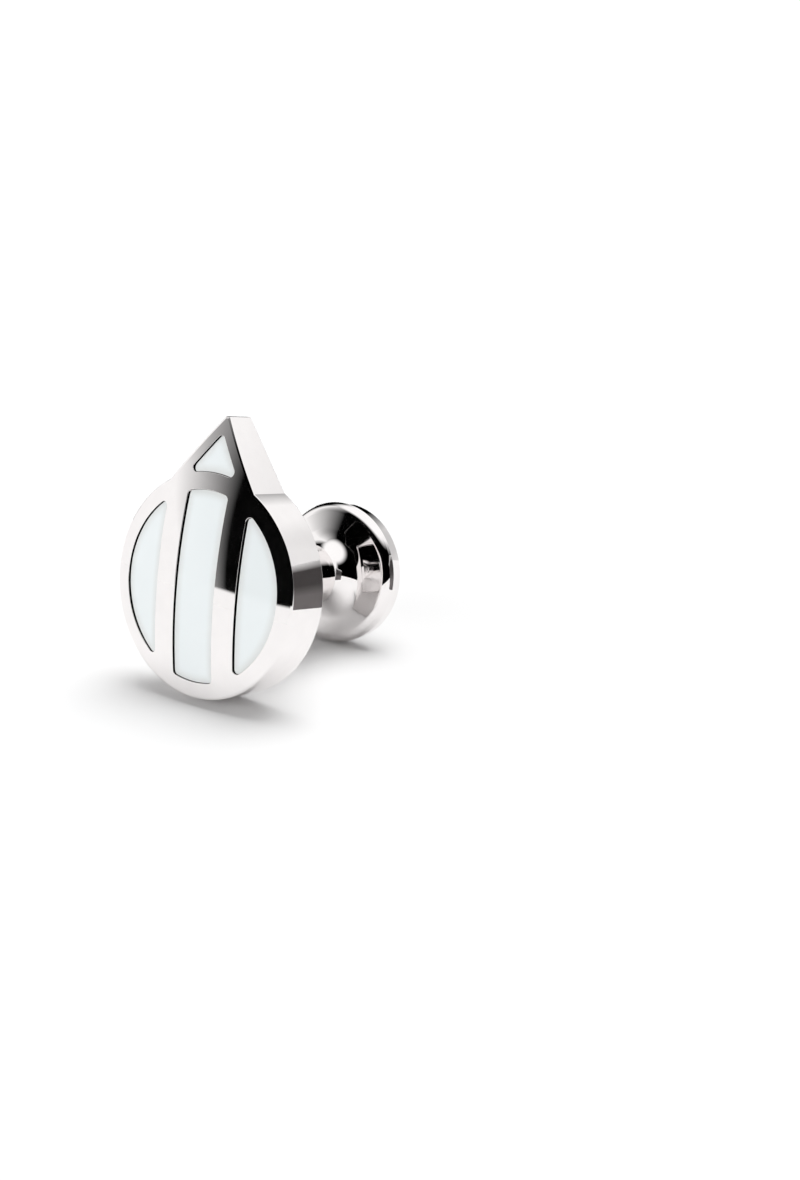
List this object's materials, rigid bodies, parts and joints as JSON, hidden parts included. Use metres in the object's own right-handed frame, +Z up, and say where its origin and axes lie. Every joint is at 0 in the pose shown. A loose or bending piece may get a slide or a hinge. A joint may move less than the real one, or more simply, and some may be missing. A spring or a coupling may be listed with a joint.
{
  "type": "cufflink",
  "caption": "Fixed-back cufflink: a thick domed disc with a pointed tip, pale enamel in its front, and a round post that ends in a trumpet-shaped button.",
  "frame": {"origin": "on the surface that it rests on, under the middle of its bounding box", "axes": "+Z up, towards the pointed tip; -Y towards the enamelled front; the post runs towards +Y and dips a little"},
  "size_m": [0.016, 0.0192, 0.02],
  "materials": {
    "polished_metal": "mirror-polished white gold",
    "white_enamel": "glossy white enamel, slightly bluish"
  },
  "bodies": {
    "root": {"face_plate": "polished_metal", "enamel_left": "white_enamel", "enamel_middle": "white_enamel", "enamel_right": "white_enamel", "enamel_tip": "white_enamel", "collar": "polished_metal", "post": "polished_metal", "button": "polished_metal"}
  },
  "joints": []
}
